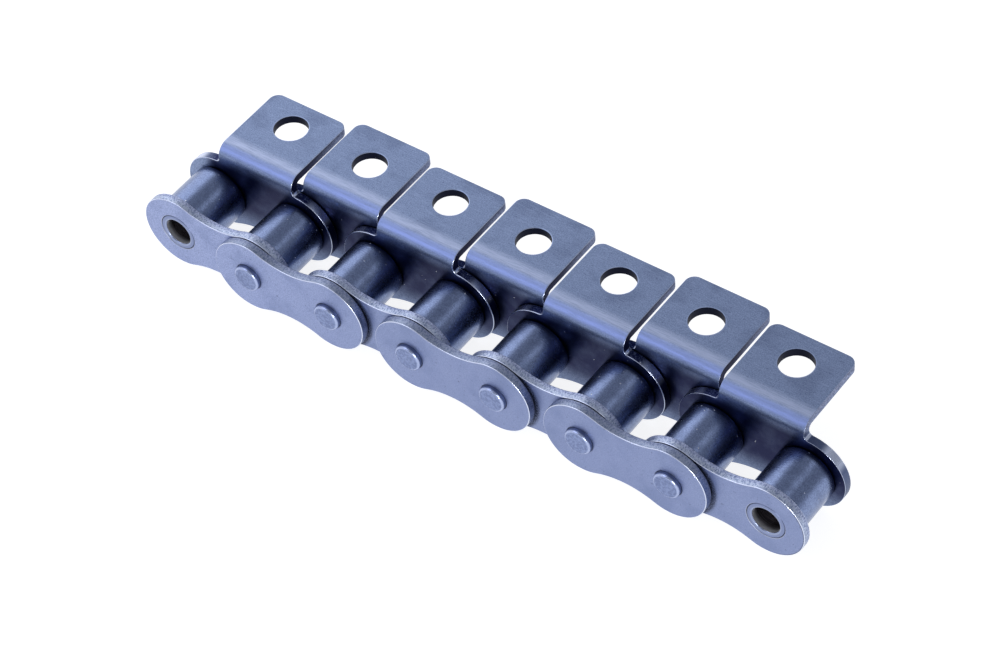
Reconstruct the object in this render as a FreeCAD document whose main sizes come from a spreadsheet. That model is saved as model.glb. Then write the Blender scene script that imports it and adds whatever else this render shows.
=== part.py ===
import FreeCAD, Part

import math
import os

import Sketcher

# Attachment roller chain, 19.05 mm pitch, seven links with a bent tab on the rear side of each.
#
# Frame: +X runs along the chain, +Y points out over the tabs, +Z is up. The pins and bushes
# lie along Y. The origin is the middle of the first bush, at the left end of the chain.
# Inner links stand at both ends and take turns with outer links between them.

INNER_LINKS = 4
OUTER_LINKS = 3

# Every size of the chain, in millimetres: alias, value and what it measures.
SIZES = [
    ("pitch", "19.05", "from one pin to the next along the chain"),
    ("inner_width", "11.68", "clear width between the two inner plates"),
    ("plate_thickness", "1.8", "steel strip of every plate"),
    ("plate_height", "16.05", "across the round heads of a plate"),
    ("waist_height", "12.15", "across the narrow waist of a plate"),
    ("plate_gap", "0.2", "running gap from an inner plate to an outer plate"),
    ("roller_outside", "12.07", "outer diameter of a roller"),
    ("roller_clearance", "0.07", "radial running clearance of a roller on its bush"),
    ("roller_side_gap", "0.15", "gap from a roller's end to an inner plate"),
    ("bush_outside", "8.0", "outer diameter of a bush and its seat in the inner plates"),
    ("pin_diameter", "5.72", "bearing pin and its seat in the outer plates"),
    ("pin_clearance", "0.04", "radial running clearance of a pin in its bush"),
    ("pin_proud", "1.0", "riveted pin end beyond the outer plate"),
    ("tab_gap", "1.25", "gap between the tabs of neighbouring links"),
    ("tab_lift", "2.075", "from the round heads up to the underside of a tab"),
    ("tab_reach", "24.2", "from the chain's centre line to an inner tab's far edge"),
    ("tab_corner", "2.0", "radius of a tab's far corners"),
    ("bend_radius", "0.9", "inside radius of the bend below a tab"),
    ("root_fillet", "1.0", "fillet between a tab's upright and the round heads"),
    ("hole_distance", "17.65", "from the chain's centre line to a tab's hole"),
    ("hole_diameter", "6.8", "hole in each tab"),
]

# Sizes that follow from the sheet, written as expressions that each sub-part is bound to.
HEAD_RADIUS = "sizes.plate_height / 2"
WAIST_RADIUS = (
    "((sizes.pitch / 2) ^ 2 + (sizes.waist_height / 2) ^ 2 - (sizes.plate_height / 2) ^ 2)"
    " / (sizes.plate_height - sizes.waist_height)"
)
INNER_PLATE_FACE = "(sizes.inner_width / 2)"
OUTER_PLATE_FACE = "(sizes.inner_width / 2 + sizes.plate_thickness + sizes.plate_gap)"
TAB_HALF_WIDTH = "(sizes.pitch - sizes.tab_gap) / 2"
TAB_UNDERSIDE = "(sizes.plate_height / 2 + sizes.tab_lift)"
TAB_TOP = "(sizes.plate_height / 2 + sizes.tab_lift + sizes.plate_thickness)"
BUSH_BORE = "(sizes.pin_diameter / 2 + sizes.pin_clearance)"
BUSH_HALF_LENGTH = "(sizes.inner_width / 2 + sizes.plate_thickness)"
ROLLER_BORE = "(sizes.bush_outside / 2 + sizes.roller_clearance)"
ROLLER_HALF_LENGTH = "(sizes.inner_width / 2 - sizes.roller_side_gap)"
PIN_HALF_LENGTH = (
    "(sizes.inner_width / 2 + 2 * sizes.plate_thickness + sizes.plate_gap + sizes.pin_proud)"
)

# Axes of a sketch and the points of its edges, as its constraints number them.
X_AXIS, Y_AXIS = -1, -2
START, END, CENTRE = 1, 2, 3

# Two places this near to each other, in millimetres, are one place.
SAME_PLACE = 1e-6

doc = FreeCAD.newDocument("roller_chain")
sheet = doc.addObject("Spreadsheet::Sheet", "sizes")
sheet.Label = "sizes"
for row, (alias, value, meaning) in enumerate(SIZES, start=1):
    sheet.set(f"A{row}", meaning)
    sheet.set(f"B{row}", value)
    sheet.setAlias(f"B{row}", alias)
doc.recompute()


def value_of(expression):
    """Returns the number that an expression over the sheet stands for."""
    return float(sheet.evalExpression(expression))


def point(x, y):
    """Returns a point of a sketch."""
    return FreeCAD.Vector(x, y, 0)


class Profile:
    """A sketch on one of a body's own origin planes, dimensioned from the sheet."""

    def __init__(self, body, name, role, height=None):
        plane = next(item for item in body.Origin.OriginFeatures if item.Role == role)
        self.sketch = body.newObject("Sketcher::SketchObject", name)
        self.sketch.AttachmentSupport = (plane, [""])
        self.sketch.MapMode = "FlatFace"
        if height is not None:
            self.sketch.setExpression("AttachmentOffset.Base.z", height)

    def line(self, start, end):
        """Adds a straight edge and returns its number."""
        return self.sketch.addGeometry(Part.LineSegment(point(*start), point(*end)), False)

    def arc(self, centre, radius, begin, finish):
        """Adds an arc that runs counterclockwise between two angles in degrees."""
        circle = Part.Circle(point(*centre), FreeCAD.Vector(0, 0, 1), radius)
        edge = Part.ArcOfCircle(circle, math.radians(begin), math.radians(finish))
        return self.sketch.addGeometry(edge, False)

    def circle(self, centre, radius):
        """Adds a full circle and returns its number."""
        edge = Part.Circle(point(*centre), FreeCAD.Vector(0, 0, 1), radius)
        return self.sketch.addGeometry(edge, False)

    def rule(self, *terms):
        """Adds a geometric constraint."""
        self.sketch.addConstraint(Sketcher.Constraint(*terms))

    def measure(self, name, expression, *terms):
        """Adds a dimension that is bound to the sheet."""
        constraint = Sketcher.Constraint(*terms, value_of(expression))
        index = self.sketch.addConstraint(constraint)
        self.sketch.renameConstraint(index, name)
        self.sketch.setExpression(f"Constraints.{name}", expression)


def add_body(label):
    """Adds an empty body with its own label."""
    body = doc.addObject("PartDesign::Body", label)
    body.Label = label
    return body


def place(body, along, across="0"):
    """Binds a body's place along the chain and across it to the sheet."""
    body.setExpression("Placement.Base.x", f"sizes.pitch * {along}")
    body.setExpression("Placement.Base.y", across)


class Blank:
    """The starting numbers of a plate's outline: its heads, its waist and where they meet."""

    def __init__(self):
        self.half_pitch = value_of("sizes.pitch / 2")
        self.head = value_of(HEAD_RADIUS)
        self.waist = value_of(WAIST_RADIUS)
        self.waist_centre = value_of("sizes.waist_height / 2") + self.waist
        self.meet = math.degrees(math.atan2(self.waist_centre, self.half_pitch))


def draw_bores(profile, bore):
    """Draws the two bores of a plate, centred on the joints at the link's ends."""
    half_pitch = value_of("sizes.pitch / 2")
    right = profile.circle((half_pitch, 0), value_of(bore))
    left = profile.circle((-half_pitch, 0), value_of(bore))
    profile.rule("PointOnObject", right, CENTRE, X_AXIS)
    profile.rule("Symmetric", right, CENTRE, left, CENTRE, X_AXIS, START)
    profile.rule("Equal", right, left)
    profile.measure("half_pitch", "sizes.pitch / 2", "DistanceX", X_AXIS, START, right, CENTRE)
    profile.measure("bore_radius", bore, "Radius", right)
    return right, left


def draw_waisted_outline(profile, bore):
    """Draws a plate with two round heads and a waist above and below."""
    bores = draw_bores(profile, bore)
    blank = Blank()
    right = profile.arc((blank.half_pitch, 0), blank.head, blank.meet - 180, 180 - blank.meet)
    left = profile.arc((-blank.half_pitch, 0), blank.head, blank.meet, 360 - blank.meet)
    top = profile.arc((0, blank.waist_centre), blank.waist, 180 + blank.meet, 360 - blank.meet)
    bottom = profile.arc((0, -blank.waist_centre), blank.waist, blank.meet, 180 - blank.meet)
    profile.rule("Coincident", right, CENTRE, bores[0], CENTRE)
    profile.rule("Coincident", left, CENTRE, bores[1], CENTRE)
    profile.rule("Equal", right, left)
    profile.rule("Equal", top, bottom)
    profile.rule("Tangent", right, END, top, END)
    profile.rule("Tangent", top, START, left, START)
    profile.rule("Tangent", left, END, bottom, END)
    profile.rule("Tangent", bottom, START, right, START)
    profile.measure("head_radius", HEAD_RADIUS, "Radius", right)
    profile.measure("waist_radius", WAIST_RADIUS, "Radius", top)


def draw_raised_outline(profile, bore):
    """Draws a plate with two round heads, a waist below and an upright between fillets above."""
    bores = draw_bores(profile, bore)
    blank = Blank()
    half_width = value_of(TAB_HALF_WIDTH)
    tab_top = value_of(TAB_TOP)
    fillet = value_of("sizes.root_fillet")
    fillet_x = half_width + fillet
    fillet_z = math.sqrt((blank.head + fillet) ** 2 - (fillet_x - blank.half_pitch) ** 2)
    touch = math.degrees(math.atan2(fillet_z, fillet_x - blank.half_pitch))
    right = profile.arc((blank.half_pitch, 0), blank.head, blank.meet - 180, touch)
    right_fillet = profile.arc((fillet_x, fillet_z), fillet, 180, 180 + touch)
    right_side = profile.line((half_width, fillet_z), (half_width, tab_top))
    top = profile.line((half_width, tab_top), (-half_width, tab_top))
    left_side = profile.line((-half_width, tab_top), (-half_width, fillet_z))
    left_fillet = profile.arc((-fillet_x, fillet_z), fillet, 360 - touch, 360)
    left = profile.arc((-blank.half_pitch, 0), blank.head, 180 - touch, 360 - blank.meet)
    bottom = profile.arc((0, -blank.waist_centre), blank.waist, blank.meet, 180 - blank.meet)
    profile.rule("Coincident", right, CENTRE, bores[0], CENTRE)
    profile.rule("Coincident", left, CENTRE, bores[1], CENTRE)
    profile.rule("Equal", right, left)
    profile.rule("Equal", right_fillet, left_fillet)
    profile.rule("Tangent", right, END, right_fillet, END)
    profile.rule("Tangent", right_fillet, START, right_side, START)
    profile.rule("Coincident", right_side, END, top, START)
    profile.rule("Coincident", top, END, left_side, START)
    profile.rule("Tangent", left_side, END, left_fillet, END)
    profile.rule("Tangent", left_fillet, START, left, START)
    profile.rule("Tangent", left, END, bottom, END)
    profile.rule("Tangent", bottom, START, right, START)
    profile.rule("Vertical", right_side)
    profile.rule("Vertical", left_side)
    profile.rule("Symmetric", top, START, top, END, Y_AXIS)
    profile.measure("head_radius", HEAD_RADIUS, "Radius", right)
    profile.measure("waist_radius", WAIST_RADIUS, "Radius", bottom)
    profile.measure("root_fillet", "sizes.root_fillet", "Radius", right_fillet)
    profile.measure("half_width", TAB_HALF_WIDTH, "DistanceX", X_AXIS, START, top, START)
    profile.measure("tab_top", TAB_TOP, "DistanceY", X_AXIS, START, top, START)


def draw_bend_cut(profile):
    """Draws what is cut away on both sides of the bent strip: below its tab and over its bend."""
    thickness = value_of("sizes.plate_thickness")
    inside = value_of("sizes.bend_radius")
    underside = value_of(TAB_UNDERSIDE)
    tab_top = value_of(TAB_TOP)
    bend_y = thickness + inside
    bend_z = underside - inside
    below = value_of("sizes.plate_height")
    beyond = value_of("sizes.tab_reach")
    inner_bend = profile.arc((bend_y, bend_z), inside, 90, 180)
    level = profile.line((bend_y, underside), (beyond, underside))
    far = profile.line((beyond, underside), (beyond, -below))
    floor = profile.line((beyond, -below), (thickness, -below))
    upright = profile.line((thickness, -below), (thickness, bend_z))
    profile.rule("Tangent", inner_bend, START, level, START)
    profile.rule("Coincident", level, END, far, START)
    profile.rule("Coincident", far, END, floor, START)
    profile.rule("Coincident", floor, END, upright, START)
    profile.rule("Tangent", upright, END, inner_bend, END)
    profile.rule("Vertical", far)
    profile.rule("Horizontal", floor)
    profile.rule("Vertical", upright)
    outer_bend = profile.arc((bend_y, bend_z), bend_y, 90, 180)
    over = profile.line((bend_y, tab_top), (0, tab_top))
    front = profile.line((0, tab_top), (0, bend_z))
    profile.rule("Coincident", outer_bend, CENTRE, inner_bend, CENTRE)
    profile.rule("Tangent", outer_bend, START, over, START)
    profile.rule("Coincident", over, END, front, START)
    profile.rule("Tangent", front, END, outer_bend, END)
    profile.rule("PointOnObject", front, START, Y_AXIS)
    profile.measure("bend_radius", "sizes.bend_radius", "Radius", inner_bend)
    profile.measure(
        "thickness", "sizes.plate_thickness", "DistanceX", X_AXIS, START, upright, START
    )
    profile.measure("underside", TAB_UNDERSIDE, "DistanceY", X_AXIS, START, level, END)
    profile.measure("beyond", "sizes.tab_reach", "DistanceX", X_AXIS, START, far, START)
    profile.measure("below", "sizes.plate_height", "DistanceY", floor, START, X_AXIS, START)


def cut_through(body, name, profile, both_ways):
    """Cuts a profile right through a body and makes sure that it takes material away."""
    doc.recompute()
    uncut = body.Shape.Volume
    pocket = body.newObject("PartDesign::Pocket", name)
    pocket.Profile = profile.sketch
    pocket.Type = "ThroughAll"
    pocket.Midplane = both_ways
    doc.recompute()
    if not body.Shape.Volume < uncut:
        raise RuntimeError(f"{name} cuts nothing")
    return pocket


def front_plate(label, along, inner_face, bore):
    """Adds a waisted plate on the front side, its outer face looking out along -Y."""
    body = add_body(label)
    outline = Profile(body, f"{label}_outline", "XZ_Plane")
    draw_waisted_outline(outline, bore)
    strip = body.newObject("PartDesign::Pad", f"{label}_strip")
    strip.Profile = outline.sketch
    strip.setExpression("Length", "sizes.plate_thickness")
    place(body, along, f"-{inner_face}")
    return body


def attachment_plate(label, along, inner_face, bore):
    """Adds a rear plate that rises above its heads and bends out over +Y into a drilled tab.

    The outline is padded as deep as the tab reaches. The side cut then leaves only the bent
    strip, so the upright, the bend and the tab share one outline and one thickness.
    """
    body = add_body(label)
    outline = Profile(body, f"{label}_outline", "XZ_Plane")
    draw_raised_outline(outline, bore)
    block = body.newObject("PartDesign::Pad", f"{label}_block")
    block.Profile = outline.sketch
    block.Reversed = True
    block.setExpression("Length", f"sizes.tab_reach - {INNER_PLATE_FACE}")
    side = Profile(body, f"{label}_side", "YZ_Plane")
    draw_bend_cut(side)
    cut_through(body, f"{label}_bend", side, True)

    drill = Profile(body, f"{label}_drill", "XY_Plane", TAB_TOP)
    hole_y = f"sizes.hole_distance - {inner_face}"
    hole = drill.circle((0, value_of(hole_y)), value_of("sizes.hole_diameter / 2"))
    drill.rule("PointOnObject", hole, CENTRE, Y_AXIS)
    drill.measure("hole_distance", hole_y, "DistanceY", X_AXIS, START, hole, CENTRE)
    drill.measure("hole_radius", "sizes.hole_diameter / 2", "Radius", hole)
    tab_hole = cut_through(body, f"{label}_hole", drill, False)

    corners = body.newObject("PartDesign::Fillet", f"{label}_corners")
    corners.Base = (tab_hole, far_corner_edges(tab_hole.Shape))
    corners.setExpression("Radius", "sizes.tab_corner")
    body.Tip = corners
    place(body, along, inner_face)
    return body


def far_corner_edges(shape):
    """Names the two upright edges at a tab's far corners."""
    far_face = shape.BoundBox.YMax - SAME_PLACE
    names = []
    for number, edge in enumerate(shape.Edges, start=1):
        box = edge.BoundBox
        if box.YMin > far_face and box.XLength < SAME_PLACE < box.ZLength:
            names.append(f"Edge{number}")
    if len(names) != 2:
        raise RuntimeError("a tab must have two far corners")
    return names


def turned_piece(label, along, outside, bore, half_length):
    """Adds a round piece about the Y axis: a bush, a roller or, with no bore, a pin."""
    body = add_body(label)
    section = Profile(body, f"{label}_section", "XZ_Plane")
    rim = section.circle((0, 0), value_of(outside))
    section.rule("Coincident", rim, CENTRE, X_AXIS, START)
    section.measure("outside", outside, "Radius", rim)
    if bore is not None:
        inner = section.circle((0, 0), value_of(bore))
        section.rule("Coincident", inner, CENTRE, X_AXIS, START)
        section.measure("bore", bore, "Radius", inner)
    barrel = body.newObject("PartDesign::Pad", f"{label}_barrel")
    barrel.Profile = section.sketch
    barrel.Midplane = True
    barrel.setExpression("Length", f"2 * {half_length}")
    place(body, along)
    return body


def inner_link(number, position):
    """Adds an inner link: two plates pressed onto two bushes, and the rollers on the bushes."""
    middle = position + 0.5
    seat = "sizes.bush_outside / 2"
    roller_rim = "sizes.roller_outside / 2"
    pieces = [
        front_plate(f"inner_front_plate_{number}", middle, INNER_PLATE_FACE, seat),
        attachment_plate(f"inner_attachment_plate_{number}", middle, INNER_PLATE_FACE, seat),
    ]
    for joint in (position, position + 1):
        bush = f"bush_{joint + 1}"
        roller = f"roller_{joint + 1}"
        pieces.append(turned_piece(bush, joint, seat, BUSH_BORE, BUSH_HALF_LENGTH))
        pieces.append(
            turned_piece(roller, joint, roller_rim, ROLLER_BORE, ROLLER_HALF_LENGTH)
        )
    return pieces


def outer_link(number, position):
    """Adds an outer link: two plates riveted onto two pins."""
    middle = position + 0.5
    seat = "sizes.pin_diameter / 2"
    pieces = [
        front_plate(f"outer_front_plate_{number}", middle, OUTER_PLATE_FACE, seat),
        attachment_plate(f"outer_attachment_plate_{number}", middle, OUTER_PLATE_FACE, seat),
    ]
    for joint in (position, position + 1):
        pieces.append(turned_piece(f"pin_{joint}", joint, seat, None, PIN_HALF_LENGTH))
    return pieces


# The row of links: an inner link at each even place and an outer link at each odd one.
pieces = []
for index in range(INNER_LINKS):
    pieces += inner_link(index + 1, 2 * index)
for index in range(OUTER_LINKS):
    pieces += outer_link(index + 1, 2 * index + 1)
doc.recompute()

for item in doc.Objects:
    if "Invalid" in item.State or "Error" in item.State:
        raise RuntimeError(f"{item.Label} does not recompute: {item.State}")

os.makedirs("parts", exist_ok=True)
for piece in pieces:
    shape = piece.Shape
    if shape.isNull() or not shape.isValid() or len(shape.Solids) != 1:
        raise RuntimeError(f"{piece.Label} is not one valid solid")
    shape.exportStep(f"parts/{piece.Label}.step")
    print(f"{piece.Label}: {shape.Volume:.1f} mm3 at x {piece.Placement.Base.x:.2f}")
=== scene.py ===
"""Dresses a seven-link attachment roller chain: blued strip plates, oiled rollers, riveted pins.

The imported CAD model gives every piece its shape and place. This script breaks the pieces' edges,
gives each finish its own material and sets up the floor, the lamps and the camera.
"""

import logging
import math
from dataclasses import dataclass, field
from enum import Enum
from typing import Any

import bpy
from mathutils import Matrix, Vector


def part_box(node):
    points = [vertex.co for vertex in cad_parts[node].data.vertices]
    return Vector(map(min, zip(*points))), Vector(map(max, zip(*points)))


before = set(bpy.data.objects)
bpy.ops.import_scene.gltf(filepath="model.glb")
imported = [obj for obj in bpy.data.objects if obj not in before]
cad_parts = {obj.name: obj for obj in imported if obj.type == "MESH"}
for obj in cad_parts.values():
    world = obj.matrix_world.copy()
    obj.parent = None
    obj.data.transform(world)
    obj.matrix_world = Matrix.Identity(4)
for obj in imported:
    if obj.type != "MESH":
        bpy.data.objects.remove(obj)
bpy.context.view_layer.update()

MM = 0.001

# Kinds of shader node that the finishes use most, and the settings they share.
RAMP = "ShaderNodeMapRange"
MATH = "ShaderNodeMath"
MIX = "ShaderNodeMix"
SPLIT = "ShaderNodeSeparateXYZ"
SMOOTH = {"interpolation_type": "SMOOTHSTEP"}
COLOUR = {"data_type": "RGBA"}
NUMBER = {"data_type": "FLOAT"}
TIMES = {"operation": "MULTIPLY"}
LARGER = {"operation": "MAXIMUM"}
UNSIGNED = {"operation": "ABSOLUTE"}
WRAPPED = {"operation": "WRAP"}

log = logging.getLogger("chain")


class LinkKind(Enum):
    """The two kinds of link that take turns along the chain."""

    INNER = "inner"
    OUTER = "outer"


def linear(hex_colour: str) -> tuple[float, float, float, float]:
    """Turns an sRGB hex colour into the linear colour that a shader takes.

    Args:
        hex_colour: Six hex digits after a number sign.

    Returns:
        Linear red, green and blue, and an alpha of 1.
    """
    shares = [int(hex_colour[i : i + 2], 16) / 255 for i in (1, 3, 5)]
    red, green, blue = (
        share / 12.92 if share <= 0.04045 else ((share + 0.055) / 1.055) ** 2.4
        for share in shares
    )
    return red, green, blue, 1.0


def per_mm(size: float) -> float:
    """Returns the texture scale, in cells per metre, of a pattern with cells of size mm."""
    return 1.0 / (size * MM)


def outward(azimuth: float, elevation: float) -> Vector:
    """Works out the direction in which a lamp or the camera stands from the chain.

    Args:
        azimuth: Degrees round the chain, from its front towards its right end.
        elevation: Degrees above the floor.

    Returns:
        The direction, of length 1.
    """
    turn, rise = math.radians(azimuth), math.radians(elevation)
    return Vector(
        (
            math.sin(turn) * math.cos(rise),
            -math.cos(turn) * math.cos(rise),
            math.sin(rise),
        )
    )


def add_node(
    tree: bpy.types.NodeTree,
    kind: str,
    settings: dict[str, Any] | None = None,
    inputs: tuple[Any, ...] | dict[str, Any] | None = None,
) -> bpy.types.Node:
    """Adds a node.

    Args:
        tree: The node tree that gets the node.
        kind: The node's type.
        settings: Properties of the node, by name.
        inputs: What each input in use takes, in order or by name: a value, a hex colour, an
            output socket, a node, whose first output in use is linked, or a list of these.

    Returns:
        The new node.
    """
    node = tree.nodes.new(kind)
    for name, value in (settings or {}).items():
        setattr(node, name, value)
    sockets = [socket for socket in node.inputs if socket.enabled]
    if isinstance(inputs, dict):
        pairs = [(node.inputs[name], value) for name, value in inputs.items()]
    else:
        pairs = list(zip(sockets, inputs or ()))
    for socket, given in pairs:
        for value in given if isinstance(given, list) else [given]:
            if isinstance(value, bpy.types.Node):
                value = next(output for output in value.outputs if output.enabled)
            if isinstance(value, bpy.types.NodeSocket):
                tree.links.new(value, socket)
            elif isinstance(value, str):
                socket.default_value = linear(value)
            else:
                socket.default_value = value
    return node


@dataclass
class SteelSurface:
    """A steel finish while it is being put together, coat over coat."""

    name: str
    colour: Any
    roughness: Any
    material: bpy.types.Material = field(init=False)
    tree: bpy.types.NodeTree = field(init=False)
    where: bpy.types.NodeSocket = field(init=False)
    spot: bpy.types.Node = field(init=False)
    facing: bpy.types.Node = field(init=False)
    flatness: bpy.types.Node = field(init=False)

    def __post_init__(self) -> None:
        """Starts the material and splits the place and the outward direction into axes."""
        self.material = bpy.data.materials.new(self.name)
        self.material.use_nodes = True
        self.tree = self.material.node_tree
        self.tree.nodes.clear()
        place = self.add("ShaderNodeTexCoord")
        self.where = place.outputs["Object"]
        self.spot = self.add(SPLIT, inputs=(self.where,))
        self.facing = self.add(SPLIT, inputs=(place.outputs["Normal"],))
        # 1 on the plates' faces and the pins' ends, 0 on rims and barrels.
        self.flatness = self.add(MATH, UNSIGNED, (self.facing.outputs["Y"],))

    def add(
        self,
        kind: str,
        settings: dict[str, Any] | None = None,
        inputs: tuple[Any, ...] | dict[str, Any] | None = None,
    ) -> bpy.types.Node:
        """Adds a node to this finish, as add_node does."""
        return add_node(self.tree, kind, settings, inputs)

    def grain(
        self, size_mm: float | tuple[float, float, float], detail: float = 3.0
    ) -> bpy.types.Node:
        """Makes noise whose cells have a real size.

        Args:
            size_mm: The cell's size every way, or its sizes along X, Y and Z.
            detail: How many finer layers the noise has.

        Returns:
            The noise, about 0.5 in the middle.
        """
        sizes = size_mm if isinstance(size_mm, tuple) else (size_mm, size_mm, size_mm)
        cells = tuple(per_mm(size) for size in sizes)
        scaled = self.add("ShaderNodeVectorMath", TIMES, (self.where, cells))
        return self.add(
            "ShaderNodeTexNoise",
            inputs={"Vector": scaled, "Scale": 1.0, "Detail": detail},
        )

    def drops(
        self,
        apart_mm: float,
        edge: float,
        top: float,
        strength: float = 1.0,
        kept: tuple[float, float] | None = None,
    ) -> bpy.types.Node:
        """Scatters small round drops or dings with soft edges.

        Args:
            apart_mm: How far apart they lie.
            edge: The radius at which a drop starts, as a share of that distance.
            top: The radius within which it is full, as a share of it too.
            strength: The mask's value where a drop is full.
            kept: The random number of a drop, from 0 to 1, at which it starts to show, and at
                which it is whole. Without it every drop is there.

        Returns:
            The mask.
        """
        cells = self.add(
            "ShaderNodeTexVoronoi",
            {"feature": "F1"},
            {"Vector": self.where, "Scale": per_mm(apart_mm), "Randomness": 1.0},
        )
        mask = self.add(RAMP, SMOOTH, (cells, edge, top, 0.0, strength))
        if kept is not None:
            there = self.add(RAMP, SMOOTH, (cells.outputs["Color"], *kept))
            mask = self.add(MATH, TIMES, (mask, there))
        return mask

    def band(
        self, value: Any, rise: tuple[float, float], fall: tuple[float, float]
    ) -> bpy.types.Node:
        """Makes a mask that comes up and goes down again while a value grows.

        Args:
            value: The value to follow.
            rise: Where the mask starts to come up, and where it is full.
            fall: Where it starts to go down, and where it is gone.

        Returns:
            The mask.
        """
        up = self.add(RAMP, SMOOTH, (value, rise[0], rise[1]))
        down = self.add(RAMP, SMOOTH, (value, fall[1], fall[0]))
        return self.add(MATH, TIMES, (up, down))

    def from_axis(
        self, axis: tuple[float, float, float], across: str, pitch: float
    ) -> bpy.types.Node:
        """Measures how far a point is from the nearest of a row of holes, one per pitch.

        Args:
            axis: A point on the axis of one hole; its X counts from the row's first hole.
            across: The axis, besides X, that the holes' circles lie in, Y or Z.
            pitch: The distance between holes.

        Returns:
            The distance in metres.
        """
        half = pitch / 2
        along = self.add(MATH, WRAPPED, (self.spot.outputs["X"], axis[0] + half, axis[0] - half))
        flat = self.add(
            "ShaderNodeCombineXYZ", inputs={"X": along, across: self.spot.outputs[across]}
        )
        return self.add("ShaderNodeVectorMath", {"operation": "DISTANCE"}, (flat, axis))

    def rim(self) -> bpy.types.Node:
        """Makes a mask of a plate's rims, which look across Y."""
        return self.add(RAMP, SMOOTH, (self.flatness, 0.60, 0.25))

    def broken_edge(self) -> bpy.types.Node:
        """Makes a mask of the rounding between a plate's rims and its faces."""
        return self.band(self.flatness, (0.25, 0.60), (0.90, 0.985))

    def coat(self, mask: Any, colour: Any = None, roughness: Any = None) -> None:
        """Lays a coat over the surface as it is so far.

        Args:
            mask: Where the coat lies, from 0 to 1.
            colour: The coat's colour, where it has one of its own.
            roughness: Its roughness, where it has one of its own.
        """
        if colour is not None:
            self.colour = self.add(MIX, COLOUR, (mask, self.colour, colour))
        if roughness is not None:
            self.roughness = self.add(MIX, NUMBER, (mask, self.roughness, roughness))

    def close(self, relief: bpy.types.Node, depth_mm: float) -> bpy.types.Material:
        """Closes the finish as bare metal with a fine relief.

        Args:
            relief: The height of its relief, from 0 to 1.
            depth_mm: How deep the relief is.

        Returns:
            The finished material.
        """
        bump = self.add(
            "ShaderNodeBump",
            inputs={"Height": relief, "Strength": 0.5, "Distance": depth_mm * MM},
        )
        shader = self.add(
            "ShaderNodeBsdfPrincipled",
            inputs={
                "Base Color": self.colour,
                "Roughness": self.roughness,
                "Metallic": 1.0,
                "Normal": bump,
            },
        )
        self.add("ShaderNodeOutputMaterial", inputs={"Surface": shader})
        return self.material


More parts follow.
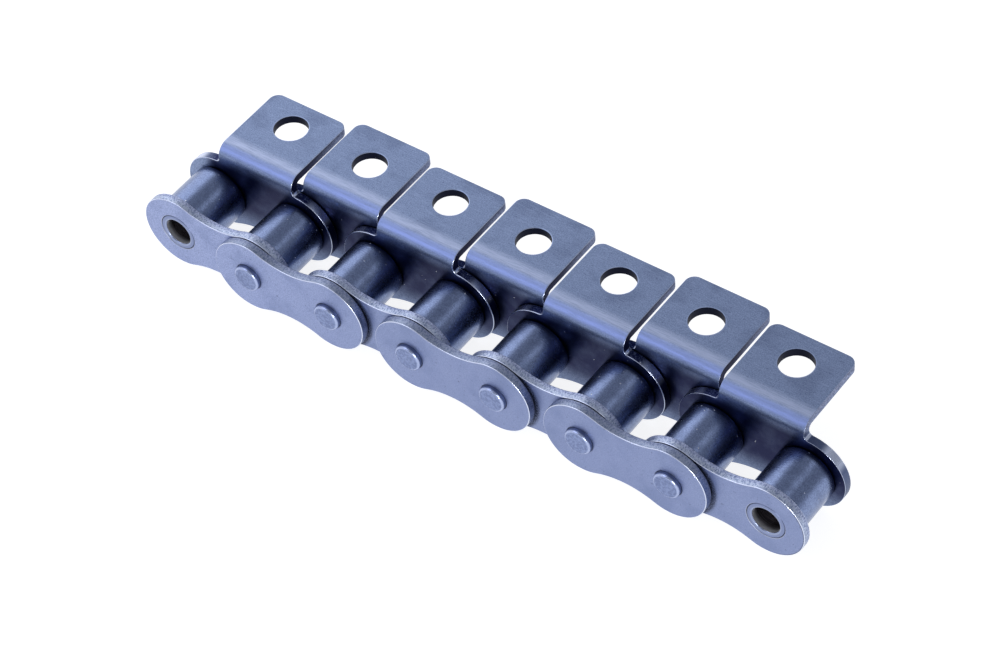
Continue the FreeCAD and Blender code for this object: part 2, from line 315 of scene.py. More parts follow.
@dataclass(frozen=True)
class BluedStripSteel:
    """Blued carbon steel strip, blanked in a press, tumbled and oiled.

    Tumbling leaves a fine matte grit and brighter worn edges, bluing a lavender grey. The first
    links are painted paler, as painted light from the left. Blanking leaves a rim that is smooth
    for the first part of the thickness and torn for the rest. Oil has darkened the seam round
    what is pressed into the plate, and lies on the outer plates' rims. On the inner plates, a
    crescent along the outer plates' heads is painted shadow with some dirt.
    """

    name: str
    face_y: float
    thickness: float
    hole_radius: float
    pitch: float
    head_radius: float
    rim_oil: float
    head_shadow_and_dirt: float
    roughness: float = 0.37
    face: str = "#8e9abf"
    face_shade: str = "#7784aa"
    face_painted_light: str = "#a9b5dd"
    pit: str = "#5f6a88"
    smudge: str = "#7583a8"
    shadow_and_dirt: str = "#262b3c"
    worn_edge: str = "#d9e0f2"
    sheared: str = "#b6c1d8"
    torn_light: str = "#bfc9e6"
    torn_dark: str = "#7581a5"
    seam: str = "#525b78"
    # Tumbling grit is about 0.1 mm; it is drawn at 0.22 mm so that it shows.
    grit_mm: float = 0.22
    pit_mm: float = 0.50
    cloud_mm: float = 6.0
    ding_apart_mm: float = 5.0
    flake_mm: tuple[float, float, float] = (0.22, 0.45, 0.22)
    drag_mm: tuple[float, float, float] = (0.35, 2.5, 0.35)
    pale_from: float = 70.0 * MM
    pale_to: float = 2.0 * MM
    sheared_share: float = 0.40
    tear_share: float = 0.25
    tear_wander: float = 0.9 * MM
    seam_inner: float = 0.06 * MM
    seam_outer: float = 0.18 * MM
    relief_mm: float = 0.03

    def build(self) -> bpy.types.Material:
        """Builds the material.

        Returns:
            The finished material.
        """
        steel = SteelSurface(self.name, self.face, self.roughness)
        grit = steel.grain(self.grit_mm, 2.0)
        flakes = steel.grain(self.flake_mm, 2.0)
        self.tumble(steel, grit)
        torn_rim = self.blank_rim(steel, flakes)
        edge = steel.add(RAMP, SMOOTH, (grit, 0.15, 0.45))
        edge = steel.add(MATH, TIMES, (edge, steel.broken_edge()))
        steel.coat(edge, self.worn_edge, 0.26)
        reach = steel.from_axis((0.0, 0.0, 0.0), "Z", self.pitch)
        seam = (self.hole_radius + self.seam_outer, self.hole_radius + self.seam_inner)
        steel.coat(steel.add(RAMP, SMOOTH, (reach, *seam, 0.0, 0.6)), self.seam, 0.60)
        self.lay_shadow_and_dirt(steel, reach, flakes)
        return steel.close(steel.add(MIX, NUMBER, (torn_rim, grit, flakes)), self.relief_mm)

    def tumble(self, steel: SteelSurface, grit: bpy.types.Node) -> None:
        """Lays what bluing and tumbling leave on the faces, and painted light on the first links.

        Args:
            steel: The surface.
            grit: The tumbling grit.
        """
        pits = steel.grain(self.pit_mm, 2.0)
        clouds = steel.grain(self.cloud_mm, 4.0)
        # Other plates in the barrel leave dings about 0.4 mm wide.
        dings = steel.drops(self.ding_apart_mm, 0.060, 0.025, strength=0.8)
        along = steel.spot.outputs["X"]
        # Painted light: the faces are painted paler towards the chain's left end, over the first
        # links.
        pale = steel.add(RAMP, SMOOTH, (along, self.pale_from, self.pale_to, 0.0, 0.85))
        steel.coat(pale, self.face_painted_light)
        steel.coat(steel.add(RAMP, SMOOTH, (grit, 0.25, 0.75, 0.1, 0.8)), self.face_shade)
        steel.coat(steel.add(RAMP, SMOOTH, (clouds, 0.50, 0.75, 0.0, 0.5)), self.smudge)
        steel.coat(steel.add(RAMP, SMOOTH, (pits, 0.66, 0.74, 0.0, 0.6)), self.pit)
        steel.coat(dings, self.pit)
        steel.coat(steel.add(RAMP, SMOOTH, (clouds, 0.30, 0.70)), roughness=0.47)

    def blank_rim(self, steel: SteelSurface, flakes: bpy.types.Node) -> bpy.types.Node:
        """Lays the rim as the press leaves it: sheared next to the face, torn behind it.

        Args:
            steel: The surface.
            flakes: The flakes of the torn part.

        Returns:
            Where the rim is torn.
        """
        rim = steel.rim()
        # The tear starts a little under half way through the strip and wanders along the rim.
        drag = steel.grain(self.drag_mm, 4.0)
        depth = steel.add(
            MATH,
            {"operation": "MULTIPLY_ADD"},
            (drag, self.tear_wander, steel.spot.outputs["Y"]),
        )
        start = self.face_y + self.sheared_share * self.thickness + self.tear_wander / 2
        full = start + self.tear_share * self.thickness
        torn_rim = steel.add(MATH, TIMES, (rim, steel.add(RAMP, SMOOTH, (depth, start, full))))
        dull = steel.add(RAMP, SMOOTH, (flakes, 0.40, 0.70))
        flaked = steel.add(RAMP, SMOOTH, (flakes, 0.28, 0.72))
        steel.coat(rim, steel.add(MIX, COLOUR, (dull, self.sheared, self.smudge)))
        torn = steel.add(MIX, COLOUR, (flaked, self.torn_light, self.torn_dark))
        steel.coat(torn_rim, torn, 0.52)
        steel.coat(steel.add(MATH, TIMES, (rim, self.rim_oil)), self.pit)
        return torn_rim

    def lay_shadow_and_dirt(
        self, steel: SteelSurface, reach: bpy.types.Node, flakes: bpy.types.Node
    ) -> None:
        """Lays painted shadow, with some dirt, in a crescent about 1 mm wide right of each head.

        Args:
            steel: The surface.
            reach: The distance from the nearest hole's axis.
            flakes: What breaks the crescent up.
        """
        # Painted shadow, with some dirt: a dark crescent on the side of each outer head away from
        # the light.
        crescent = steel.band(
            reach,
            (self.head_radius - 0.4 * MM, self.head_radius - 0.1 * MM),
            (self.head_radius + 0.3 * MM, self.head_radius + 1.3 * MM),
        )
        along = steel.spot.outputs["X"]
        beside = steel.add(MATH, WRAPPED, (along, self.pitch / 2, -self.pitch / 2))
        beside = steel.add(RAMP, SMOOTH, (beside, 0.0, 5.0 * MM, 0.0, self.head_shadow_and_dirt))
        joined = steel.add(RAMP, SMOOTH, (along, 0.6 * self.pitch, 1.0 * self.pitch))
        caked = steel.add(RAMP, SMOOTH, (flakes, 0.62, 0.45, 0.35, 1.0))
        level = steel.add(RAMP, SMOOTH, (steel.flatness, 0.90, 0.97))
        for share in (beside, joined, caked, level):
            crescent = steel.add(MATH, TIMES, (crescent, share))
        steel.coat(crescent, self.shadow_and_dirt, 0.55)


@dataclass(frozen=True)
class BentStripSteel:
    """The same blued strip, bent over a press die into a tab and drilled.

    Rolling leaves faint streaks along X. The die rubs the bend to a smoother band; the pale line
    where the bend starts is a painted highlight. Painted shade darkens the hole; painted shade
    with oil darkens the slits between the tabs, the rims under them and the side that faces the
    rollers. On these last two oil stands in beads that glint.
    """

    name: str
    pitch: float
    bend_y: float
    bend_z: float
    hole_y: float
    hole_radius: float
    roughness: float = 0.42
    face: str = "#8d9dbf"
    face_shade: str = "#6b7b9c"
    streak: str = "#97a7c9"
    pit: str = "#536080"
    burnished: str = "#8595c6"
    bend_start_highlight: str = "#adb9d8"
    worn_edge: str = "#c6cfe6"
    sheared: str = "#8591b2"
    torn: str = "#5b6584"
    hole_painted_shade: str = "#1d2133"
    oil_and_painted_shade: str = "#171e46"
    bead: str = "#eceff8"
    grit_mm: float = 0.22
    pit_mm: float = 0.50
    cloud_mm: float = 7.0
    # Rolling streaks are a few hundredths of a millimetre wide; they are drawn wider to show.
    streak_mm: tuple[float, float, float] = (3.0, 0.22, 0.22)
    flake_mm: float = 0.30
    smear_mm: float = 2.5
    bead_apart_mm: float = 1.6
    # The painted shade with oil starts over this stretch of X, and ends this many pitches along.
    oil_and_shade_start: tuple[float, float] = (-3.5 * MM, -0.5 * MM)
    last_slit: float = 6.3
    # The beads stand this high, and the grit this share of it.
    relief_mm: float = 0.12
    grit_relief: float = 0.25

    def build(self) -> bpy.types.Material:
        """Builds the material.

        Returns:
            The finished material.
        """
        steel = SteelSurface(self.name, self.face, self.roughness)
        forward = steel.add(MATH, TIMES, (steel.facing.outputs["Y"], -1.0))
        sideways = steel.add(MATH, UNSIGNED, (steel.facing.outputs["X"],))
        height = steel.spot.outputs["Z"]
        # Rims look along X, and below the bend every way but along Y.
        below = steel.add(RAMP, SMOOTH, (height, self.bend_z, self.bend_z - 0.3 * MM))
        side_rim = steel.add(RAMP, SMOOTH, (sideways, 0.60, 0.85))
        low_rim = steel.add(MATH, TIMES, (steel.rim(), below))
        grit = steel.grain(self.grit_mm, 2.0)
        streaks = steel.grain(self.streak_mm, 2.0)
        self.roll(steel, grit, streaks)
        self.rub_bend(steel, forward, streaks)
        self.cut_rims(steel, side_rim, low_rim)
        beads = self.lay_shade_and_oil_on_riser(steel, forward, low_rim)
        side_edge = steel.band(sideways, (0.30, 0.55), (0.75, 0.90))
        low_edge = steel.add(MATH, TIMES, (steel.broken_edge(), below))
        steel.coat(steel.add(MATH, LARGER, (side_edge, low_edge)), self.worn_edge, 0.26)
        steel.coat(beads, self.bead, 0.15)
        self.drill_hole(steel)
        grit = steel.add(MATH, TIMES, (grit, self.grit_relief))
        return steel.close(steel.add(MIX, NUMBER, (beads, grit, 1.0)), self.relief_mm)

    def roll(self, steel: SteelSurface, grit: bpy.types.Node, streaks: bpy.types.Node) -> None:
        """Lays what rolling, bluing and tumbling leave on the strip.

        Args:
            steel: The surface.
            grit: The tumbling grit.
            streaks: The rolling streaks.
        """
        pits = steel.grain(self.pit_mm, 2.0)
        clouds = steel.grain(self.cloud_mm)
        steel.coat(steel.add(RAMP, SMOOTH, (grit, 0.27, 0.73)), self.face_shade)
        steel.coat(steel.add(RAMP, SMOOTH, (clouds, 0.50, 0.70, 0.0, 0.35)), self.pit)
        steel.coat(steel.add(RAMP, SMOOTH, (streaks, 0.52, 0.75, 0.0, 0.5)), self.streak)
        steel.coat(steel.add(RAMP, SMOOTH, (pits, 0.64, 0.74, 0.0, 0.6)), self.pit)

    def rub_bend(
        self, steel: SteelSurface, forward: bpy.types.Node, streaks: bpy.types.Node
    ) -> None:
        """Rubs the bend smooth, and paints a highlight as a pale line where it starts on the tab.

        Args:
            steel: The surface.
            forward: How far a spot looks to the rollers.
            streaks: The rolling streaks, which break the band up.
        """
        up, back = steel.facing.outputs["Z"], steel.spot.outputs["Y"]
        streaked = steel.add(RAMP, SMOOTH, (streaks, 0.30, 0.62, 0.55, 1.0))
        # The bend looks forward and up at once, and lies in front of the hole.
        bend = steel.add(RAMP, SMOOTH, (forward, 0.04, 0.50))
        upwards = steel.add(RAMP, SMOOTH, (up, 0.30, 0.75))
        near = steel.add(RAMP, SMOOTH, (back, self.bend_y + 1.0 * MM, self.bend_y))
        for share in (upwards, near, streaked):
            bend = steel.add(MATH, TIMES, (bend, share))
        steel.coat(bend, self.burnished, 0.38)
        # A pale line where the bend starts on the tab is a painted highlight.
        start = steel.band(
            back,
            (self.bend_y - 1.1 * MM, self.bend_y - 0.1 * MM),
            (self.bend_y + 0.1 * MM, self.bend_y + 2.4 * MM),
        )
        level = steel.add(RAMP, SMOOTH, (up, 0.6, 0.9))
        for share in (streaked, level):
            start = steel.add(MATH, TIMES, (start, share))
        steel.coat(start, self.bend_start_highlight)

    def cut_rims(
        self, steel: SteelSurface, side_rim: bpy.types.Node, low_rim: bpy.types.Node
    ) -> None:
        """Lays the blanked rims, and painted shade with oil on them between the plates.

        Args:
            steel: The surface.
            side_rim: Where the rims look along X.
            low_rim: Where the rims lie below the bend.
        """
        flakes = steel.grain(self.flake_mm, 1.0)
        flaked = steel.add(RAMP, SMOOTH, (flakes, 0.35, 0.65))
        steel.coat(side_rim, steel.add(MIX, COLOUR, (flaked, self.sheared, self.torn)), 0.50)
        steel.coat(low_rim, steel.add(MIX, COLOUR, (flaked, self.torn, self.pit)), 0.45)
        # Painted shade with oil, thickest near the bend. The chain's two ends have no neighbour.
        inside = steel.band(
            steel.spot.outputs["X"],
            self.oil_and_shade_start,
            (self.last_slit * self.pitch, (self.last_slit + 0.4) * self.pitch),
        )
        rim_shade = steel.add(RAMP, SMOOTH, (flakes, 0.2, 0.6))
        depth = (self.hole_y + 4.0 * MM, self.bend_y + 1.5 * MM)
        slit_shade = steel.add(RAMP, SMOOTH, (steel.spot.outputs["Y"], *depth, 0.2, 1.0))
        for rim, share, roughness in ((low_rim, rim_shade, 0.35), (side_rim, slit_shade, 0.60)):
            oily_shade = steel.add(MATH, TIMES, (rim, share))
            oily_shade = steel.add(MATH, TIMES, (oily_shade, inside))
            steel.coat(oily_shade, self.oil_and_painted_shade, roughness)

    def lay_shade_and_oil_on_riser(
        self, steel: SteelSurface, forward: bpy.types.Node, low_rim: bpy.types.Node
    ) -> bpy.types.Node:
        """Lays painted shade and oil on the rollers' side, thickest a little under the bend.

        Args:
            steel: The surface.
            forward: How far a spot looks to the rollers.
            low_rim: Where the rims lie below the bend.

        Returns:
            The beads in which the oil stands there and on the low rims.
        """
        height = steel.spot.outputs["Z"]
        smear = steel.grain(self.smear_mm, 4.0)
        # Painted shade with oil on the rollers' side, left off left of the first hinge, where
        # light from the left falls.
        oily_shade = steel.add(RAMP, SMOOTH, (forward, 0.90, 0.99))
        patchy = steel.add(
            MATH, {"operation": "MULTIPLY_ADD", "use_clamp": True}, (smear, 0.40, 0.76)
        )
        begun = steel.add(RAMP, SMOOTH, (steel.spot.outputs["X"], *self.oil_and_shade_start))
        climb = steel.add(RAMP, SMOOTH, (height, -8.5 * MM, -1.0 * MM))
        thin = (self.bend_z + 0.8 * MM, self.bend_z - 2.2 * MM)
        fall = steel.add(RAMP, SMOOTH, (height, *thin, 0.15, 1.0))
        for share in (patchy, begun, climb, fall):
            oily_shade = steel.add(MATH, TIMES, (oily_shade, share))
        steel.coat(oily_shade, self.oil_and_painted_shade, 0.33)
        few = steel.drops(self.bead_apart_mm, 0.08, 0.04, kept=(0.58, 0.66))
        many = steel.drops(self.bead_apart_mm, 0.18, 0.08, kept=(0.38, 0.46))
        few = steel.add(MATH, TIMES, (few, oily_shade))
        many = steel.add(MATH, TIMES, (many, low_rim))
        return steel.add(MATH, LARGER, (few, many))

    def drill_hole(self, steel: SteelSurface) -> None:
        """Lays the bright ring round the hole's mouth and painted shade on the hole's wall.

        Args:
            steel: The surface.
        """
        reach = steel.from_axis((self.pitch / 2, self.hole_y, 0.0), "Y", self.pitch)
        mouth = steel.band(
            reach,
            (self.hole_radius + 0.05 * MM, self.hole_radius + 0.10 * MM),
            (self.hole_radius + 0.16 * MM, self.hole_radius + 0.24 * MM),
        )
        steel.coat(mouth, self.streak, 0.30)
        # Painted shade darkens the hole's wall.
        wall = (self.hole_radius + 0.05 * MM, self.hole_radius + 0.02 * MM)
        steel.coat(steel.add(RAMP, SMOOTH, (reach, *wall)), self.hole_painted_shade, 0.60)


@dataclass(frozen=True)
class BlackOxideRollerSteel:
    """Case-hardened steel, turned, black-oxided and oiled.

    The oxide has a blue cast. The oil over it gives soft long highlights and gathers in beads
    that glint, most of all in a ring along the attachment plates, which is darkened with painted
    shade and oil.
    """

    name: str
    half_length: float
    roughness: float = 0.25
    oxide: str = "#6d7a9d"
    oxide_worn: str = "#8191b6"
    pit: str = "#434c69"
    worn_end: str = "#a9b4d2"
    oil_and_painted_shade: str = "#1f2640"
    bead: str = "#e6eaf5"
    # Turning marks run round the roller, so they change fast along Y alone.
    mark_mm: tuple[float, float, float] = (6.0, 0.25, 6.0)
    film_mm: float = 2.5
    grit_mm: float = 0.26
    bead_apart_mm: float = 2.4
    ring_bead_apart_mm: float = 1.0
    ring_start: float = 1.6 * MM
    ring_full: float = 0.4 * MM
    # The beads stand this high, and the turning marks this share of it.
    relief_mm: float = 0.15
    mark_relief: float = 0.12

    def build(self) -> bpy.types.Material:
        """Builds the material.

        Returns:
            The finished material.
        """
        steel = SteelSurface(self.name, self.oxide, self.roughness)
        marks = steel.grain(self.mark_mm, 2.0)
        film = steel.grain(self.film_mm)
        grit = steel.grain(self.grit_mm, 2.0)
        steel.coat(steel.add(RAMP, SMOOTH, (grit, 0.35, 0.65)), self.oxide_worn)
        steel.coat(steel.add(RAMP, SMOOTH, (film, 0.50, 0.70, 0.0, 0.20)), self.pit)
        steel.coat(steel.add(RAMP, SMOOTH, (grit, 0.70, 0.78, 0.0, 0.6)), self.pit)
        steel.coat(steel.add(RAMP, SMOOTH, (film, 0.35, 0.65)), roughness=0.30)
        # The ring at the end by the attachment plates is painted shade with oil.
        stretch = (self.half_length - self.ring_start, self.half_length - self.ring_full)
        ring = steel.add(RAMP, SMOOTH, (steel.spot.outputs["Y"], *stretch, 0.0, 0.7))
        steel.coat(ring, self.oil_and_painted_shade, 0.25)
        ring_beads = steel.drops(self.ring_bead_apart_mm, 0.28, 0.10, kept=(0.35, 0.45))
        ring_beads = steel.add(MATH, TIMES, (ring_beads, ring))
        beads = steel.drops(self.bead_apart_mm, 0.07, 0.03)
        beads = steel.add(MATH, LARGER, (beads, ring_beads))
        worn = steel.band(steel.flatness, (0.25, 0.55), (0.80, 0.95))
        worn = steel.add(MATH, TIMES, (worn, steel.add(RAMP, SMOOTH, (film, 0.40, 0.55))))
        steel.coat(worn, self.worn_end, 0.20)
        steel.coat(beads, self.bead, 0.16)
        turned = steel.add(RAMP, SMOOTH, (marks, 0.0, 1.0, 0.0, self.mark_relief))
        return steel.close(steel.add(MIX, NUMBER, (beads, turned, 1.0)), self.relief_mm)


@dataclass(frozen=True)
class PressedBushSteel:
    """Case-hardened bush steel: ground ends, and a drilled bore full of oil.

    The oil shows the bore a brownish grey, and has darkened the seam between the bush and its
    plate. The mouth is worn bright where a pin goes in. Just inside each mouth the wall is
    painted lighter: painted light that falls into the bore.
    """

    name: str
    bore_radius: float
    outside_radius: float
    half_length: float
    pitch: float
    roughness: float = 0.26
    end: str = "#7d89ad"
    worn_mouth: str = "#929dbb"
    wall_painted_light: str = "#eef0f4"
    seam: str = "#525b78"
    bore: str = "#a09ca0"
    bore_dark: str = "#5e5a62"
    # A drill leaves rings round the bore, a few tenths of a millimetre apart.
    drill_ring_mm: tuple[float, float, float] = (5.0, 0.3, 5.0)
    scuff_mm: float = 0.3
    wall_start: float = 1.9 * MM
    wall_full: float = 0.5 * MM
    relief_mm: float = 0.03

    def build(self) -> bpy.types.Material:
        """Builds the material.

        Returns:
            The finished material.
        """
        steel = SteelSurface(self.name, self.bore, self.roughness)
        rings = steel.grain(self.drill_ring_mm)
        scuffs = steel.grain(self.scuff_mm, 2.0)
        steel.coat(steel.add(RAMP, SMOOTH, (rings, 0.35, 0.65)), self.bore_dark, 0.40)
        steel.coat(steel.add(RAMP, SMOOTH, (scuffs, 0.52, 0.66, 0.0, 0.7)), self.bore_dark)
        # Painted light: the wall just inside each mouth is painted lighter than deeper in.
        along = steel.add(MATH, UNSIGNED, (steel.spot.outputs["Y"],))
        wall = (self.half_length - self.wall_start, self.half_length - self.wall_full)
        steel.coat(steel.add(RAMP, SMOOTH, (along, *wall)), self.wall_painted_light, 0.48)
        lip = steel.add(RAMP, SMOOTH, (steel.flatness, 0.10, 0.35))
        steel.coat(lip, self.worn_mouth, 0.26)
        end = steel.add(RAMP, SMOOTH, (steel.flatness, 0.62, 0.90))
        steel.coat(end, self.end, 0.30)
        reach = steel.from_axis((0.0, 0.0, 0.0), "Z", self.pitch)
        mouth = (self.bore_radius + 0.45 * MM, self.bore_radius + 0.30 * MM)
        inner = steel.add(RAMP, SMOOTH, (reach, *mouth))
        steel.coat(steel.add(MATH, TIMES, (end, inner)), self.worn_mouth, 0.24)
        seam = (self.outside_radius - 0.22 * MM, self.outside_radius - 0.08 * MM)
        steel.coat(steel.add(RAMP, SMOOTH, (reach, *seam, 0.0, 0.8)), self.seam, 0.45)
        return steel.close(steel.add(MIX, NUMBER, (end, rings, scuffs)), self.relief_mm)


@dataclass(frozen=True)
class RivetedPinSteel:
    """Ground pin steel whose ends were spun over in riveting, then blued with the plates.

    Riveting leaves a flat, lightly scuffed end inside a rounded, brighter rim.
    """

    name: str
    roughness: float = 0.30
    end: str = "#8492b9"
    scuff: str = "#6f7ca2"
    spun_rim: str = "#a5b1d3"
    shank: str = "#6f7996"
    scuff_mm: float = 0.45
    grit_mm: float = 0.24
    relief_mm: float = 0.03

    def build(self) -> bpy.types.Material:
        """Builds the material.

        Returns:
            The finished material.
        """
        steel = SteelSurface(self.name, self.end, self.roughness)
        scuffs = steel.grain(self.scuff_mm, 4.0)
        grit = steel.grain(self.grit_mm, 2.0)
        steel.coat(steel.add(RAMP, SMOOTH, (scuffs, 0.35, 0.65)), self.scuff, 0.42)
        spun = steel.band(steel.flatness, (0.30, 0.60), (0.90, 0.995))
        steel.coat(spun, self.spun_rim, 0.26)
        side = steel.add(RAMP, SMOOTH, (steel.flatness, 0.40, 0.05))
        steel.coat(side, self.shank)
        return steel.close(steel.add(MIX, NUMBER, (side, scuffs, grit)), self.relief_mm)


@dataclass(frozen=True)
class WhitePaperFloor:
    """Matte white studio paper, which shows white and keeps a soft shadow."""

    name: str = "white_paper"
    paper: str = "#f4f4f6"
    white: str = "#ffffff"
    unlit: str = "#000000"
    glow: float = 0.85
    paper_share: float = 0.42

    def build(self) -> bpy.types.Material:
        """Builds the material.

        Returns:
            The finished material.
        """
        material = bpy.data.materials.new(self.name)
        material.use_nodes = True
        tree = material.node_tree
        tree.nodes.clear()
        rays = add_node(tree, "ShaderNodeLightPath")
        seen = add_node(
            tree,
            MATH,
            {"operation": "ADD"},
            (rays.outputs["Is Camera Ray"], rays.outputs["Is Glossy Ray"]),
        )
        shown = add_node(
            tree,
            MATH,
            {"operation": "ADD", "use_clamp": True},
            (seen, rays.outputs["Is Transmission Ray"]),
        )
        lit = add_node(tree, "ShaderNodeBsdfDiffuse", inputs={"Color": self.paper})
        dark = add_node(tree, "ShaderNodeBsdfDiffuse", inputs={"Color": self.unlit})
        shaded = add_node(tree, "ShaderNodeMixShader", inputs=(self.paper_share, dark, lit))
        white = add_node(
            tree, "ShaderNodeEmission", inputs={"Color": self.white, "Strength": self.glow}
        )
        bright = add_node(tree, "ShaderNodeAddShader", inputs=(shaded, white))
        paper = add_node(tree, "ShaderNodeMixShader", inputs=(shown, lit, bright))
        add_node(tree, "ShaderNodeOutputMaterial", inputs={"Surface": paper})
        return material


@dataclass(frozen=True)
class BrokenEdge:
    """The small rounding that a press, a lathe or tumbling leaves on a piece's edges."""

    radius: float
    segments: int = 3
    weld: float = 0.0005 * MM
    sharp_angle: float = math.radians(30)
    flat_angle: float = math.radians(0.5)

    def apply(self, node: bpy.types.Object) -> None:
        """Rounds a piece's sharp edges and smooths its shading.

        Args:
            node: The piece to round.
        """
        joined = node.modifiers.new("join_corners", "WELD")
        joined.merge_threshold = self.weld
        flat = node.modifiers.new("whole_faces", "DECIMATE")
        flat.decimate_type = "DISSOLVE"
        flat.angle_limit = self.flat_angle
        rounded = node.modifiers.new("broken_edge", "BEVEL")
        rounded.width = self.radius
        rounded.segments = self.segments
        rounded.limit_method = "ANGLE"
        rounded.angle_limit = self.sharp_angle
        rounded.use_clamp_overlap = True
        rounded.harden_normals = False
        smooth = node.modifiers.new("even_shading", "WEIGHTED_NORMAL")
        smooth.keep_sharp = False


def dress(node_name: str, material: bpy.types.Material, edge: BrokenEdge) -> None:
    """Gives a CAD piece its finish and its broken edges.

    Args:
        node_name: The piece's name.
        material: The finish.
        edge: The rounding of its edges.
    """
    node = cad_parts[node_name]
    node.data.materials.clear()
    node.data.materials.append(material)
    edge.apply(node)
    log.info("%s: %s, edges %.2f mm", node_name, material.name, edge.radius / MM)


@dataclass
class LinkPlates:
    """The two plates of one link."""

    kind: LinkKind
    number: int
    front_edge: BrokenEdge = field(default_factory=lambda: BrokenEdge(0.20 * MM))
    tab_edge: BrokenEdge = field(default_factory=lambda: BrokenEdge(0.20 * MM))

    def dress(self, front: bpy.types.Material, tab: bpy.types.Material) -> None:
        """Dresses the front plate and the attachment plate.

        Args:
            front: The front plate's finish.
            tab: The attachment plate's finish.
        """
        dress(f"{self.kind.value}_front_plate_{self.number}", front, self.front_edge)
        dress(f"{self.kind.value}_attachment_plate_{self.number}", tab, self.tab_edge)


@dataclass
class BushAndRoller:
    """A bush and the roller that turns on it."""

    number: int
    mouth_edge: BrokenEdge = field(default_factory=lambda: BrokenEdge(0.30 * MM))
    roller_edge: BrokenEdge = field(default_factory=lambda: BrokenEdge(0.4 * MM))

    def dress(self, bush: bpy.types.Material, roller: bpy.types.Material) -> None:
        """Dresses the bush and the roller.

        Args:
            bush: The bush's finish.
            roller: The roller's finish.
        """
        dress(f"bush_{self.number}", bush, self.mouth_edge)
        dress(f"roller_{self.number}", roller, self.roller_edge)


@dataclass
class RivetedPin:
    """A bearing pin, riveted in both outer plates."""

    number: int
    rivet_edge: BrokenEdge = field(default_factory=lambda: BrokenEdge(0.6 * MM, 5))

    def dress(self, pin: bpy.types.Material) -> None:
        """Dresses the pin.

        Args:
            pin: The pin's finish.
        """
        dress(f"pin_{self.number}", pin, self.rivet_edge)


@dataclass
class Chain:
    """The whole length of chain."""

    inner_links: int = 4
    outer_links: int = 3
    bushes: int = 8
    pins: int = 6
    pitch: float = 19.05 * MM
    hole_y: float = 17.65 * MM
    hole_radius: float = 3.4 * MM
    bend_outside: float = 2.7 * MM
    bush_bore: float = 2.9 * MM
    bush_outside: float = 4.0 * MM
    pin_radius: float = 2.86 * MM
    outer_rim_oil: float = 0.45
    inner_head_shadow_and_dirt: float = 1.0

    def front_finish(self, kind: LinkKind) -> bpy.types.Material:
        """Builds the front plates' finish for one kind of link, from where its plates lie.

        Args:
            kind: The kind of link.

        Returns:
            The material.
        """
        low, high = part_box(f"{kind.value}_front_plate_1")
        inner = kind is LinkKind.INNER
        return BluedStripSteel(
            name=f"blued_strip_{kind.value}",
            face_y=low.y,
            thickness=high.y - low.y,
            hole_radius=self.bush_outside if inner else self.pin_radius,
            pitch=self.pitch,
            head_radius=(high.z - low.z) / 2,
            rim_oil=0.0 if inner else self.outer_rim_oil,
            head_shadow_and_dirt=self.inner_head_shadow_and_dirt if inner else 0.0,
        ).build()

    def tab_finish(self, kind: LinkKind) -> bpy.types.Material:
        """Builds the attachment plates' finish for one kind of link, from where they lie.

        Args:
            kind: The kind of link.

        Returns:
            The material.
        """
        low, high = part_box(f"{kind.value}_attachment_plate_1")
        return BentStripSteel(
            name=f"bent_strip_{kind.value}",
            pitch=self.pitch,
            bend_y=low.y + self.bend_outside,
            bend_z=high.z - self.bend_outside,
            hole_y=self.hole_y,
            hole_radius=self.hole_radius,
        ).build()

    def dress(self) -> None:
        """Dresses every piece of the chain."""
        counts = {LinkKind.INNER: self.inner_links, LinkKind.OUTER: self.outer_links}
        for kind, count in counts.items():
            front, tab = self.front_finish(kind), self.tab_finish(kind)
            for number in range(1, count + 1):
                LinkPlates(kind, number).dress(front, tab)
        bush = PressedBushSteel(
            name="pressed_bush",
            bore_radius=self.bush_bore,
            outside_radius=self.bush_outside,
            half_length=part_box("bush_1")[1].y,
            pitch=self.pitch,
        ).build()
        roller = BlackOxideRollerSteel("black_oxide_roller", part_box("roller_1")[1].y).build()
        for number in range(1, self.bushes + 1):
            BushAndRoller(number).dress(bush, roller)
        pin = RivetedPinSteel("riveted_pin").build()
        for number in range(1, self.pins + 1):
            RivetedPin(number).dress(pin)


@dataclass(frozen=True)
class SoftBox:
    """A square studio lamp with a diffuser."""

    name: str
    azimuth: float
    elevation: float
    distance: float
    size: float
    watts: float
    tint: str = "#ffffff"

    def build(self, aim: Vector) -> None:
        """Hangs the lamp round the chain, facing it.

        Args:
            aim: The point that the lamp faces.
        """
        out = outward(self.azimuth, self.elevation)
        lamp = bpy.data.lights.new(self.name, "AREA")
        lamp.shape = "SQUARE"
        lamp.size = self.size
        lamp.energy = self.watts
        lamp.color = linear(self.tint)[:3]
        holder = bpy.data.objects.new(self.name, lamp)
        holder.location = aim + out * self.distance
        holder.rotation_mode = "QUATERNION"
        holder.rotation_quaternion = (-out).to_track_quat("-Z", "Y")
        bpy.context.scene.collection.objects.link(holder)
        log.info("%s: %.2f m box, %.1f W", self.name, self.size, self.watts)


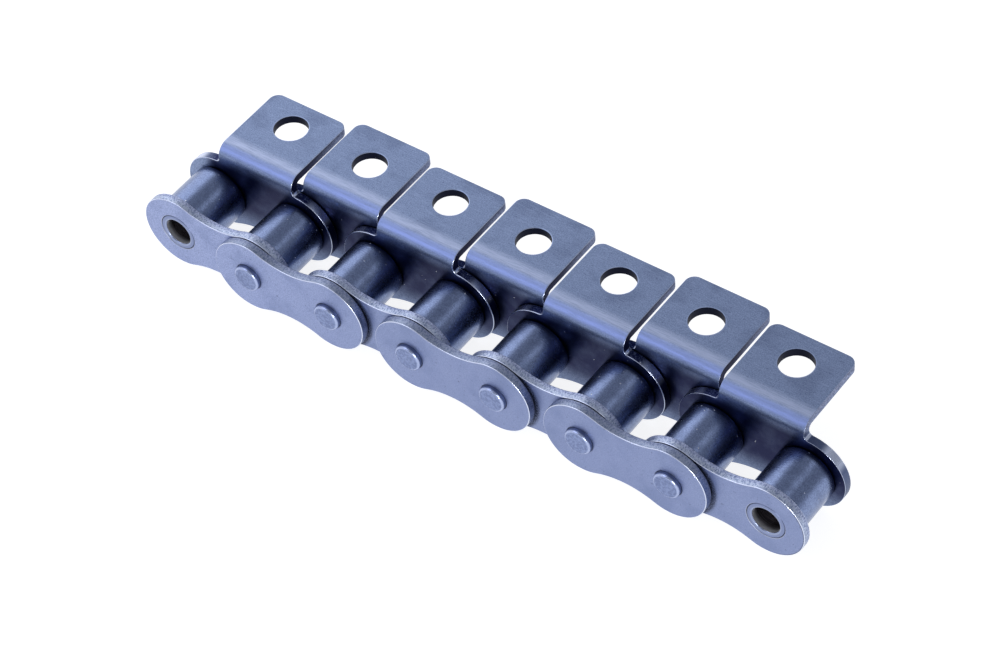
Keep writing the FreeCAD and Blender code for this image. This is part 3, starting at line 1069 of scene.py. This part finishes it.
@dataclass(frozen=True)
class LightTent:
    """The pale cloth round the table: bright on the left and low down, duller overhead."""

    name: str = "light_tent"
    overhead: str = "#a4a6ac"
    bright_side: str = "#f8f9ff"
    side_start: float = -0.30
    side_full: float = -0.58
    skirt_top: float = 0.22
    skirt_share: float = 1.0

    def build(self) -> None:
        """Builds the tent as the scene's world."""
        world = bpy.data.worlds.new(self.name)
        world.use_nodes = True
        tree = world.node_tree
        tree.nodes.clear()
        place = add_node(tree, "ShaderNodeTexCoord")
        way = add_node(tree, SPLIT, inputs=(place.outputs["Generated"],))
        side = add_node(
            tree, RAMP, SMOOTH, (way.outputs["X"], self.side_start, self.side_full)
        )
        skirt = add_node(
            tree, RAMP, SMOOTH, (way.outputs["Z"], self.skirt_top, 0.0, 0.0, self.skirt_share)
        )
        bright = add_node(tree, MATH, LARGER, (side, skirt))
        cloth = add_node(tree, MIX, COLOUR, (bright, self.overhead, self.bright_side))
        glow = add_node(tree, "ShaderNodeBackground", inputs={"Color": cloth, "Strength": 1.0})
        add_node(tree, "ShaderNodeOutputWorld", inputs={"Surface": glow})
        bpy.context.scene.world = world
        log.info("%s: built", self.name)


@dataclass
class Studio:
    """The white floor, the lamps, the pale surroundings and the camera."""

    # The camera's place was solved from the pins, bores and tabs, whose pitch is known.
    azimuth: float = 39.371
    elevation: float = 46.779
    roll: float = -5.148
    distance: float = 608.639 * MM
    slide_right: float = 3.321 * MM
    slide_up: float = 1.917 * MM
    focal_pixels: float = 3298.0
    image_width: float = 1000.0
    sensor_mm: float = 36.0
    floor_radius: float = 3.0
    floor_corners: int = 64
    nearest: float = 0.01
    farthest: float = 20.0
    middle: Vector = field(default_factory=lambda: Vector((66.675 * MM, 0.0, 0.0)))
    tent: LightTent = field(default_factory=LightTent)
    # Name, azimuth, elevation, distance, size, watts and tint of each lamp.
    lamps: tuple[SoftBox, ...] = (
        SoftBox("left_rear_box", -124.0, 27.0, 0.80, 0.60, 0.70),
        SoftBox("front_left_box", -32.5, 36.0, 0.80, 0.42, 0.68, "#e0e5ff"),
        SoftBox("left_top_box", -77.0, 64.0, 0.80, 0.35, 0.35),
        SoftBox("right_rear_box", 142.0, 48.0, 0.80, 0.20, 0.08),
        SoftBox("front_right_box", 33.0, 13.0, 0.80, 0.17, 2.20),
    )

    def touch_chain(self) -> bpy.types.NodeTree:
        """Makes the nodes that bring the floor up or down to the chain's lowest point.

        The links hang lower than at rest when their hinges turn, and the floor gives way.

        Returns:
            The geometry nodes.
        """
        tree = bpy.data.node_groups.new("touch_chain", "GeometryNodeTree")
        for way in ("INPUT", "OUTPUT"):
            tree.interface.new_socket("Floor", in_out=way, socket_type="NodeSocketGeometry")
        pieces = [
            add_node(
                tree,
                "GeometryNodeObjectInfo",
                {"transform_space": "RELATIVE"},
                {"Object": piece},
            ).outputs["Geometry"]
            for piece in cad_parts.values()
        ]
        chain = add_node(tree, "GeometryNodeJoinGeometry", inputs={"Geometry": pieces})
        box = add_node(tree, "GeometryNodeBoundBox", inputs={"Geometry": chain})
        lowest = add_node(tree, SPLIT, inputs=(box.outputs["Min"],))
        down = add_node(tree, "ShaderNodeCombineXYZ", inputs={"Z": lowest.outputs["Z"]})
        floor = add_node(tree, "NodeGroupInput")
        floor = add_node(
            tree, "GeometryNodeTransform", inputs={"Geometry": floor, "Translation": down}
        )
        add_node(tree, "NodeGroupOutput", inputs={"Floor": floor})
        return tree

    def lay_floor(self) -> None:
        """Lays a round white floor that stays right under the chain."""
        turns = [2 * math.pi * i / self.floor_corners for i in range(self.floor_corners)]
        ring = [
            (
                self.middle.x + self.floor_radius * math.cos(turn),
                self.floor_radius * math.sin(turn),
                0.0,
            )
            for turn in turns
        ]
        mesh = bpy.data.meshes.new("floor")
        mesh.from_pydata(ring, [], [tuple(range(self.floor_corners))])
        mesh.materials.append(WhitePaperFloor().build())
        floor = bpy.data.objects.new("floor", mesh)
        bpy.context.scene.collection.objects.link(floor)
        floor.modifiers.new("touch_chain", "NODES").node_group = self.touch_chain()
        log.info("floor: %.1f m round", 2 * self.floor_radius)

    def place_camera(self) -> None:
        """Puts the camera at the photograph's angle, distance and roll."""
        turn, roll = math.radians(self.azimuth), math.radians(self.roll)
        back = outward(self.azimuth, self.elevation)
        level = Vector((math.cos(turn), math.sin(turn), 0.0))
        upright = back.cross(level)
        right = level * math.cos(roll) + upright * math.sin(roll)
        up = upright * math.cos(roll) - level * math.sin(roll)
        lens = bpy.data.cameras.new("camera")
        lens.sensor_width = self.sensor_mm
        lens.lens = self.focal_pixels / self.image_width * self.sensor_mm
        lens.clip_start = self.nearest
        lens.clip_end = self.farthest
        camera = bpy.data.objects.new("camera", lens)
        spot = self.middle + right * self.slide_right + up * self.slide_up
        spot = spot + back * self.distance
        turned = Matrix((right, up, back)).transposed().to_4x4()
        camera.matrix_world = Matrix.Translation(spot) @ turned
        bpy.context.scene.collection.objects.link(camera)
        bpy.context.scene.camera = camera
        log.info("camera: %.1f mm lens", lens.lens)

    def build(self) -> None:
        """Builds the floor, the lamps, the surroundings and the camera."""
        self.lay_floor()
        for lamp in self.lamps:
            lamp.build(self.middle)
        self.tent.build()
        self.place_camera()
        bpy.context.scene.view_settings.view_transform = "Standard"


def main() -> None:
    """Dresses the chain and builds the studio round it."""
    logging.basicConfig(level=logging.INFO, format="%(message)s")
    Chain().dress()
    Studio().build()


if __name__ == "__main__":
    main()
